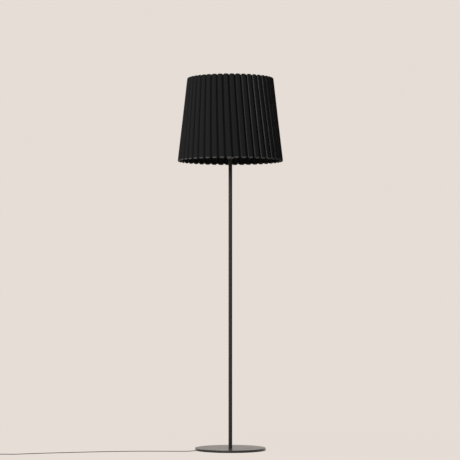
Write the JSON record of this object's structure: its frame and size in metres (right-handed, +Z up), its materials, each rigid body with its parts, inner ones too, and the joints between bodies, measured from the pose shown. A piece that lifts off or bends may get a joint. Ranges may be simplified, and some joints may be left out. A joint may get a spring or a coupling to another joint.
{
  "type": "pleated shade floor lamp",
  "caption": "Floor lamp with a round flat base, a slim straight pole, a conical knife-pleated drum shade on a spider frame, a screw-cap bulb and a flat cord with foot switch and plug.",
  "frame": {"origin": "centre of the round base on the floor", "axes": "+Z up along the pole, +X to the right and +Y away from the viewer as pictured"},
  "size_m": [1.4147, 0.5885, 1.6],
  "materials": {
    "black_steel": "satin black powder coat",
    "foot_rubber": "matte black rubber",
    "zinc_steel": "zinc plated",
    "black_nylon": "moulded nylon",
    "cord_sheath": "matte black sheath",
    "live_insulation": "brown insulation",
    "neutral_insulation": "blue insulation",
    "holder_plastic": "moulded black",
    "core_ceramic": "pale insulating moulding",
    "nickelled_brass": "nickel plated",
    "contact_brass": "bare brass",
    "bulb_shell_metal": "rolled metal",
    "black_glass": "black glass",
    "white_plastic": "moulded white",
    "opal_globe": "opal diffuser",
    "black_fabric": "pleated black cloth",
    "frame_wire": "black coated wire",
    "switch_plastic": "moulded black",
    "button_plastic": "moulded black",
    "spring_steel": "bright steel",
    "boot_rubber": "soft moulded black",
    "plug_plastic": "moulded black",
    "pin_metal": "nickelled brass",
    "sleeve_plastic": "black insulating sleeve"
  },
  "bodies": {
    "stand": {"base_plate": "black_steel", "base_feet": "foot_rubber", "base_screw": "zinc_steel", "cord_clamp": "black_nylon", "cord_clamp_screws": "zinc_steel", "rim_grommet": "foot_rubber", "pole_lower": "black_steel", "pole_middle": "black_steel", "pole_upper": "black_steel", "pole_inserts": "zinc_steel", "joint_nipples": "zinc_steel", "holder_nipple": "zinc_steel", "inner_cord": "cord_sheath", "live_wire": "live_insulation", "neutral_wire": "neutral_insulation", "lampholder_cap": "holder_plastic", "holder_nut": "zinc_steel", "lampholder_skirt": "holder_plastic", "lampholder_core": "core_ceramic", "screw_shell": "nickelled_brass", "centre_contact": "contact_brass", "holder_terminals": "contact_brass", "floor_cord": "cord_sheath", "switch_lead": "cord_sheath", "cord_coil": "cord_sheath", "plug_lead": "cord_sheath", "switch_lower_case": "switch_plastic", "switch_upper_case": "switch_plastic", "button_spring": "spring_steel", "switch_terminals": "contact_brass", "switch_screws": "zinc_steel", "switch_boots": "boot_rubber", "plug_body": "plug_plastic", "plug_pins": "pin_metal", "pin_sleeves": "sleeve_plastic"},
    "shade": {"shade_cover": "black_fabric", "shade_bottom_ring": "frame_wire", "shade_top_ring": "frame_wire", "shade_struts": "frame_wire", "fitter_ring": "frame_wire", "fitter_arms": "frame_wire"},
    "clamp_ring": {"shade_clamp_ring": "holder_plastic"},
    "bulb": {"bulb_cap": "bulb_shell_metal", "bulb_insulator": "black_glass", "bulb_tip": "bulb_shell_metal", "bulb_housing": "white_plastic", "bulb_globe": "opal_globe"},
    "button": {"switch_button": "button_plastic"}
  },
  "joints": [
    {"name": "shade_turn", "type": "hinge", "parent": "stand", "child": "shade", "pos_m": [0, 0, 1.2885], "axis": [0, 0, 1], "continuous": true},
    {"name": "clamp_ring_unscrew", "type": "hinge", "parent": "stand", "child": "clamp_ring", "pos_m": [0, 0, 1.294], "axis": [0, 0, 1], "range_deg": [0, 3240]},
    {"name": "bulb_unscrew", "type": "hinge", "parent": "stand", "child": "bulb", "pos_m": [0, 0, 1.3], "axis": [0, 0, 1], "range_deg": [0, 1080]},
    {"name": "button_press", "type": "slide", "parent": "stand", "child": "button", "axis": [0, 0, -1], "range_m": [0, 0.0025], "stiffness_N_per_m": 800, "springref_m": -0.002, "deforming": ["button_spring"]}
  ]
}
